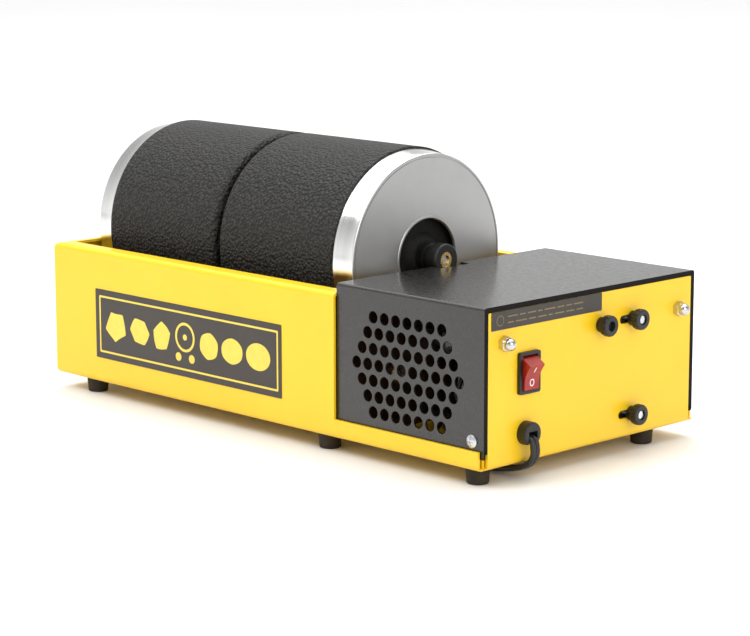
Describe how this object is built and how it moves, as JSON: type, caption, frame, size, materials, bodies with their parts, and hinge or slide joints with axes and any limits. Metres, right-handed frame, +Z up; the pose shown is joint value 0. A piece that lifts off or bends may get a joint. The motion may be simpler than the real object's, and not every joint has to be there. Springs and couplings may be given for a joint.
{
  "type": "rotary rock tumbler",
  "caption": "Bench rotary rock tumbler: rubber barrels with metal lids lie end to end on motor-driven rollers in an open bent-sheet tray, beside a vented motor housing.",
  "frame": {"origin": "on the floor under the middle of the machine's box, without its mains lead", "axes": "+X along the machine towards the motor's end panel, +Y away from the side that carries the nameplate, +Z up"},
  "size_m": [0.352, 0.2479, 0.1502],
  "materials": {
    "yellow_paint": "satin powder coat",
    "black_coat": "fine-textured satin powder coat",
    "barrel_rubber": "pebbled matt moulded rubber",
    "soft_rubber": "matt rubber",
    "alloy": "spun and brushed",
    "steel": "bright zinc",
    "chrome": "polished plating",
    "brass": "turned",
    "copper": "enamelled winding wire",
    "black_plastic": "moulded, lightly textured",
    "switch_red": "translucent gloss",
    "label_film": "printed plastic film",
    "cord_jacket": "soft PVC",
    "nut_orange": "moulded",
    "zinc_plate": "galvanised"
  },
  "bodies": {
    "base": {"base_tray": "yellow_paint", "bulkhead": "yellow_paint", "motor_cover": "black_coat", "rubber_feet": "soft_rubber", "foot_screws": "steel", "cover_screws": "steel", "cap_nuts": "chrome", "nameplate": "label_film", "end_label": "label_film", "shaft_bushes": "brass", "drive_belt": "soft_rubber", "switch_body": "black_plastic", "switch_terminals": "brass", "strain_relief": "black_plastic", "lead_wires": "cord_jacket", "wire_nuts": "nut_orange", "cord_run": "cord_jacket", "cord_coil": "cord_jacket", "cord_tail": "cord_jacket", "cord_tie": "soft_rubber", "plug_body": "cord_jacket", "plug_blades": "brass"},
    "drive_roller": {"drive_shaft": "steel", "drive_sleeve": "soft_rubber", "drive_pulley": "black_plastic", "drive_collars": "steel"},
    "idler_roller": {"idler_shaft": "steel", "idler_sleeve": "soft_rubber", "idler_collars": "steel"},
    "motor_carriage": {"motor_plate": "zinc_plate", "motor_core": "zinc_plate", "shading_rings": "copper", "motor_coil": "copper", "motor_brackets": "alloy", "motor_screws": "steel", "motor_spacers": "alloy", "adjust_studs": "chrome"},
    "motor_rotor": {"motor_rotor": "zinc_plate", "motor_shaft": "steel", "motor_pulley": "brass", "cooling_fan": "black_plastic"},
    "adjust_knob_1": {"adjust_knob_1": "black_plastic"},
    "adjust_knob_2": {"adjust_knob_2": "black_plastic"},
    "adjust_knob_3": {"adjust_knob_3": "black_plastic"},
    "switch_rocker": {"switch_rocker": "switch_red"},
    "left_carrier": {"left_washer": "steel"},
    "left_barrel": {"left_shell": "barrel_rubber", "left_inner_lid": "soft_rubber", "left_cap": "alloy", "left_stud": "steel"},
    "left_knob": {"left_knob": "black_plastic", "left_insert": "brass"},
    "right_carrier": {"right_washer": "steel"},
    "right_barrel": {"right_shell": "barrel_rubber", "right_inner_lid": "soft_rubber", "right_cap": "alloy", "right_stud": "steel"},
    "right_knob": {"right_knob": "black_plastic", "right_insert": "brass"}
  },
  "joints": [
    {"name": "left_barrel_lift", "type": "slide", "parent": "base", "child": "left_carrier", "axis": [0, 0, 1], "range_m": [0, 0.08]},
    {"name": "left_barrel_spin", "type": "hinge", "parent": "left_carrier", "child": "left_barrel", "pos_m": [-0.108, 0, 0.0918], "axis": [1, 0, 0], "continuous": true},
    {"name": "left_knob_turn", "type": "hinge", "parent": "left_barrel", "child": "left_knob", "pos_m": [-0.17, 0, 0.0918], "axis": [-1, 0, 0], "range_deg": [0, 540]},
    {"name": "right_barrel_lift", "type": "slide", "parent": "base", "child": "right_carrier", "axis": [0, 0, 1], "range_m": [0, 0.08]},
    {"name": "right_barrel_spin", "type": "hinge", "parent": "right_carrier", "child": "right_barrel", "pos_m": [-0.002, 0, 0.0918], "axis": [1, 0, 0], "continuous": true},
    {"name": "right_knob_turn", "type": "hinge", "parent": "right_barrel", "child": "right_knob", "pos_m": [0.059, 0, 0.0918], "axis": [1, 0, 0], "range_deg": [0, 540]},
    {"name": "drive_roller_spin", "type": "hinge", "parent": "base", "child": "drive_roller", "pos_m": [-0.055, 0.038, 0.03704], "axis": [1, 0, 0], "continuous": true},
    {"name": "idler_roller_spin", "type": "hinge", "parent": "base", "child": "idler_roller", "pos_m": [-0.055, -0.038, 0.03704], "axis": [1, 0, 0], "continuous": true},
    {"name": "motor_slide", "type": "slide", "parent": "base", "child": "motor_carriage", "axis": [0, 1, 0], "range_m": [0, 0.006]},
    {"name": "motor_spin", "type": "hinge", "parent": "motor_carriage", "child": "motor_rotor", "pos_m": [0.116, -0.01, 0.0552], "axis": [1, 0, 0], "continuous": true},
    {"name": "adjust_knob_1_turn", "type": "hinge", "parent": "motor_carriage", "child": "adjust_knob_1", "pos_m": [0.171, 0.0056, 0.0703], "axis": [1, 0, 0], "range_deg": [0, 540]},
    {"name": "adjust_knob_2_turn", "type": "hinge", "parent": "motor_carriage", "child": "adjust_knob_2", "pos_m": [0.171, 0.0302, 0.0704], "axis": [1, 0, 0], "range_deg": [0, 540]},
    {"name": "adjust_knob_3_turn", "type": "hinge", "parent": "motor_carriage", "child": "adjust_knob_3", "pos_m": [0.171, 0.0302, 0.0206], "axis": [1, 0, 0], "range_deg": [0, 540]},
    {"name": "switch_press", "type": "hinge", "parent": "base", "child": "switch_rocker", "pos_m": [0.166, -0.049, 0.0539], "axis": [0, -1, 0], "range_deg": [0, 34]}
  ],
  "couplings": [
    {"joint": "right_barrel_spin", "follows": "left_barrel_spin", "ratio": 1},
    {"joint": "drive_roller_spin", "follows": "left_barrel_spin", "ratio": -7.3},
    {"joint": "idler_roller_spin", "follows": "left_barrel_spin", "ratio": -7.3},
    {"joint": "motor_spin", "follows": "left_barrel_spin", "ratio": -30.634}
  ]
}
